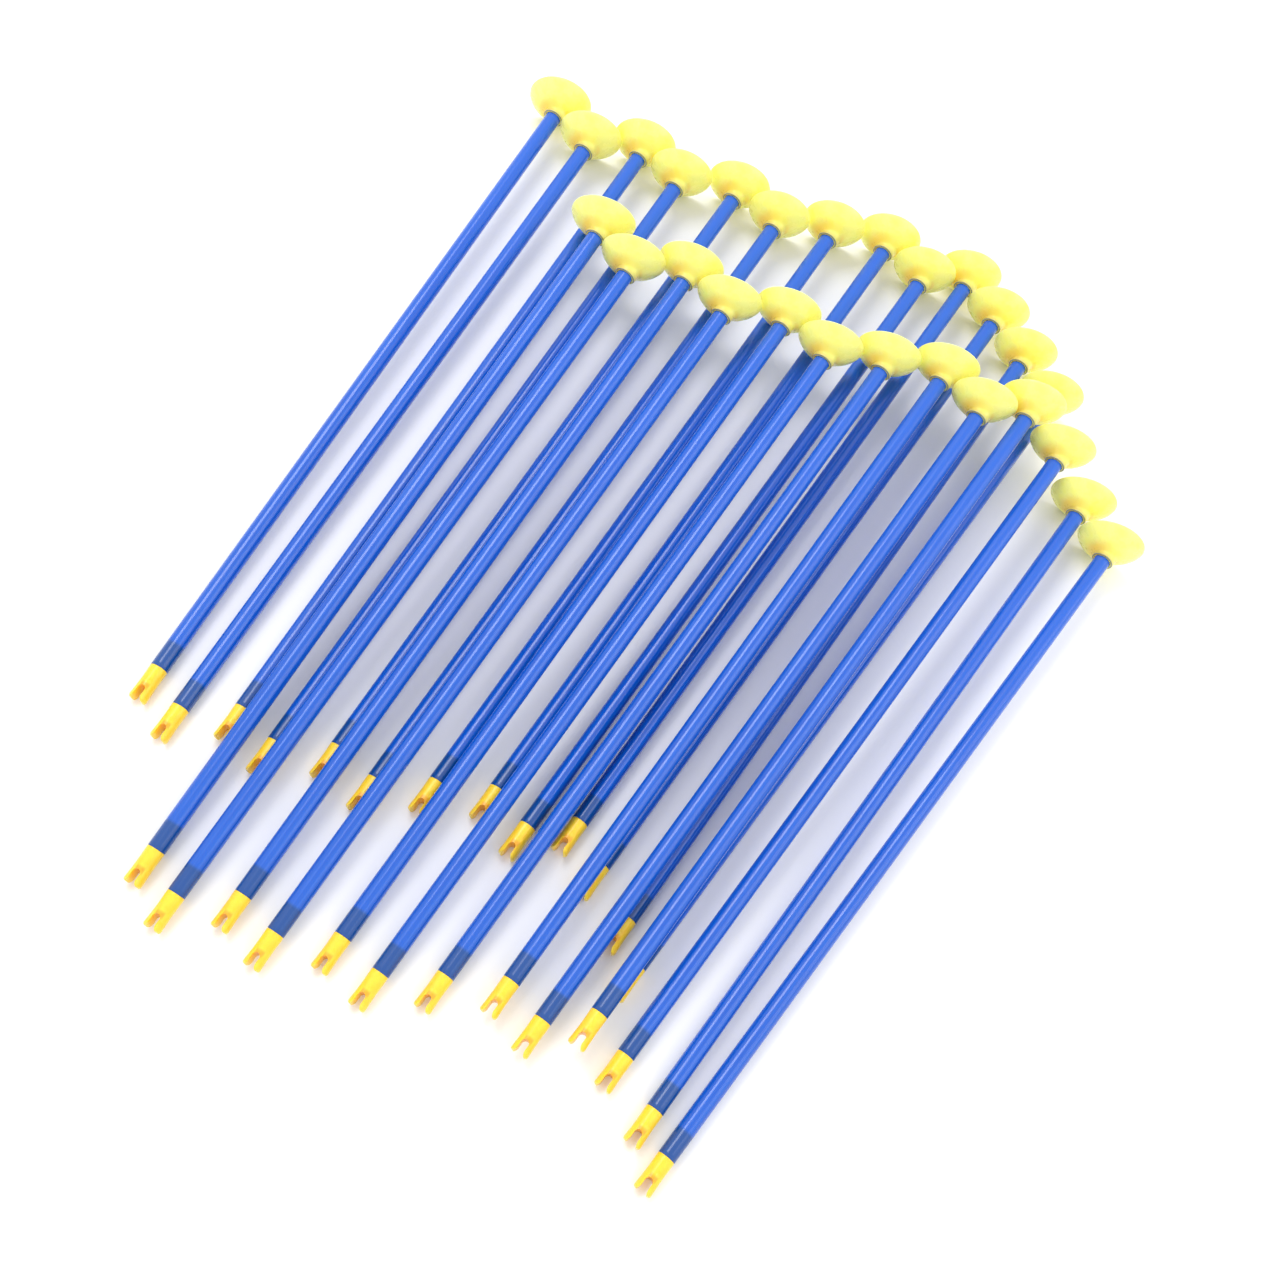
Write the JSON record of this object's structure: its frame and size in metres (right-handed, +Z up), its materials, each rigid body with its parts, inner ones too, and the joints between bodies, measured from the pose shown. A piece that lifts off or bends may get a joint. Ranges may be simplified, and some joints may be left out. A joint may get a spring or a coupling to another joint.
{
  "type": "suction cup arrow bundle",
  "caption": "Bundle of toy suction-cup arrows in two overlapping fans: thin blue tubes with yellow rubbery cups at the head and slotted gold nocks at the tail.",
  "frame": {"origin": "bottom centre of the whole bundle, on the floor that it lies on", "axes": "+Z up; +Y the way the arrows point, from their nocks towards their suction cups; +X to the right seen from the nock end, across the fans"},
  "size_m": [0.39, 0.5054, 0.0524],
  "materials": {
    "tube_blue": "glossy, translucent royal blue",
    "cup_lemon": "smooth translucent lemon yellow soft vinyl",
    "nock_gold": "semi-gloss golden yellow moulding"
  },
  "bodies": {
    "lower_fan": {"lower_03_shaft": "tube_blue", "lower_04_shaft": "tube_blue", "lower_05_shaft": "tube_blue", "lower_06_shaft": "tube_blue", "lower_07_shaft": "tube_blue", "lower_08_shaft": "tube_blue", "lower_09_shaft": "tube_blue", "lower_10_shaft": "tube_blue", "lower_11_shaft": "tube_blue", "lower_12_shaft": "tube_blue", "lower_13_shaft": "tube_blue", "lower_suction_cups": "cup_lemon", "lower_nocks": "nock_gold"},
    "lower_arrow_01": {"lower_01_shaft": "tube_blue", "lower_01_suction_cup": "cup_lemon", "lower_01_nock": "nock_gold"},
    "lower_arrow_02": {"lower_02_shaft": "tube_blue", "lower_02_suction_cup": "cup_lemon", "lower_02_nock": "nock_gold"},
    "upper_arrow_01": {"upper_01_shaft": "tube_blue", "upper_01_suction_cup": "cup_lemon", "upper_01_nock": "nock_gold"},
    "upper_arrow_02": {"upper_02_shaft": "tube_blue", "upper_02_suction_cup": "cup_lemon", "upper_02_nock": "nock_gold"},
    "upper_arrow_03": {"upper_03_shaft": "tube_blue", "upper_03_suction_cup": "cup_lemon", "upper_03_nock": "nock_gold"},
    "upper_arrow_04": {"upper_04_shaft": "tube_blue", "upper_04_suction_cup": "cup_lemon", "upper_04_nock": "nock_gold"},
    "upper_arrow_05": {"upper_05_shaft": "tube_blue", "upper_05_suction_cup": "cup_lemon", "upper_05_nock": "nock_gold"},
    "upper_arrow_06": {"upper_06_shaft": "tube_blue", "upper_06_suction_cup": "cup_lemon", "upper_06_nock": "nock_gold"},
    "upper_arrow_07": {"upper_07_shaft": "tube_blue", "upper_07_suction_cup": "cup_lemon", "upper_07_nock": "nock_gold"},
    "upper_arrow_08": {"upper_08_shaft": "tube_blue", "upper_08_suction_cup": "cup_lemon", "upper_08_nock": "nock_gold"},
    "upper_arrow_09": {"upper_09_shaft": "tube_blue", "upper_09_suction_cup": "cup_lemon", "upper_09_nock": "nock_gold"},
    "upper_arrow_10": {"upper_10_shaft": "tube_blue", "upper_10_suction_cup": "cup_lemon", "upper_10_nock": "nock_gold"},
    "upper_arrow_11": {"upper_11_shaft": "tube_blue", "upper_11_suction_cup": "cup_lemon", "upper_11_nock": "nock_gold"},
    "upper_arrow_12": {"upper_12_shaft": "tube_blue", "upper_12_suction_cup": "cup_lemon", "upper_12_nock": "nock_gold"},
    "upper_arrow_13": {"upper_13_shaft": "tube_blue", "upper_13_suction_cup": "cup_lemon", "upper_13_nock": "nock_gold"}
  },
  "joints": [
    {"name": "lower_lift_01", "type": "slide", "parent": "lower_fan", "child": "lower_arrow_01", "axis": [0, 0, 1], "range_m": [0, 0.08]},
    {"name": "lower_lift_02", "type": "slide", "parent": "lower_fan", "child": "lower_arrow_02", "axis": [0, 0, 1], "range_m": [0, 0.08]},
    {"name": "upper_lift_01", "type": "slide", "parent": "lower_fan", "child": "upper_arrow_01", "axis": [0, 0, 1], "range_m": [0, 0.08]},
    {"name": "upper_lift_02", "type": "slide", "parent": "lower_fan", "child": "upper_arrow_02", "axis": [0, 0, 1], "range_m": [0, 0.08]},
    {"name": "upper_lift_03", "type": "slide", "parent": "lower_fan", "child": "upper_arrow_03", "axis": [0, 0, 1], "range_m": [0, 0.08]},
    {"name": "upper_lift_04", "type": "slide", "parent": "lower_fan", "child": "upper_arrow_04", "axis": [0, 0, 1], "range_m": [0, 0.08]},
    {"name": "upper_lift_05", "type": "slide", "parent": "lower_fan", "child": "upper_arrow_05", "axis": [0, 0, 1], "range_m": [0, 0.08]},
    {"name": "upper_lift_06", "type": "slide", "parent": "lower_fan", "child": "upper_arrow_06", "axis": [0, 0, 1], "range_m": [0, 0.08]},
    {"name": "upper_lift_07", "type": "slide", "parent": "lower_fan", "child": "upper_arrow_07", "axis": [0, 0, 1], "range_m": [0, 0.08]},
    {"name": "upper_lift_08", "type": "slide", "parent": "lower_fan", "child": "upper_arrow_08", "axis": [0, 0, 1], "range_m": [0, 0.08]},
    {"name": "upper_lift_09", "type": "slide", "parent": "lower_fan", "child": "upper_arrow_09", "axis": [0, 0, 1], "range_m": [0, 0.08]},
    {"name": "upper_lift_10", "type": "slide", "parent": "lower_fan", "child": "upper_arrow_10", "axis": [0, 0, 1], "range_m": [0, 0.08]},
    {"name": "upper_lift_11", "type": "slide", "parent": "lower_fan", "child": "upper_arrow_11", "axis": [0, 0, 1], "range_m": [0, 0.08]},
    {"name": "upper_lift_12", "type": "slide", "parent": "lower_fan", "child": "upper_arrow_12", "axis": [0, 0, 1], "range_m": [0, 0.08]},
    {"name": "upper_lift_13", "type": "slide", "parent": "lower_fan", "child": "upper_arrow_13", "axis": [0, 0, 1], "range_m": [0, 0.08]}
  ]
}
